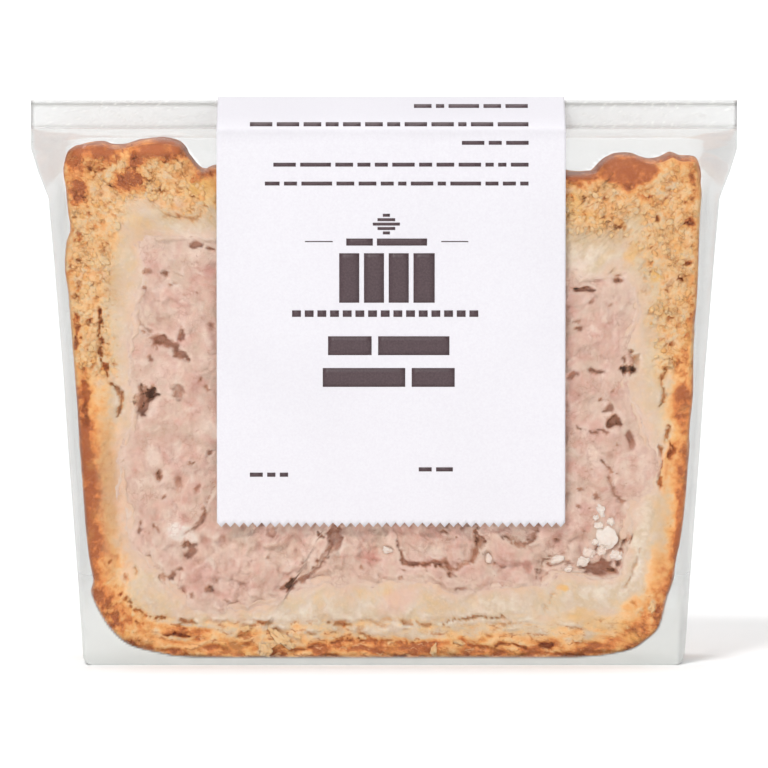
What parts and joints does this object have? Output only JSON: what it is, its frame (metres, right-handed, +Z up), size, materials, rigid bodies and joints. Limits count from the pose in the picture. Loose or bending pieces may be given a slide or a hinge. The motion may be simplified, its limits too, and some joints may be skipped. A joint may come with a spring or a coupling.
{
  "type": "pork pie",
  "caption": "Upright slice of a loaf-shaped pork pie with a crimped crust and meat filling, sealed in a clear bag with a plain folded paper label.",
  "frame": {"origin": "centre of the bag's flat base, at the bottom of the pack's box", "axes": "+X to the right across the cut face, +Y from the shown cut face to the back, +Z up from the base to the bag's top seal"},
  "size_m": [0.1208, 0.022, 0.0965],
  "materials": {
    "pastry": "matte",
    "filling": "satin",
    "bag": "gloss",
    "label": "matte"
  },
  "bodies": {
    "root": {"pastry": "pastry", "filling": "filling", "bag": "bag", "label": "label"}
  },
  "joints": []
}
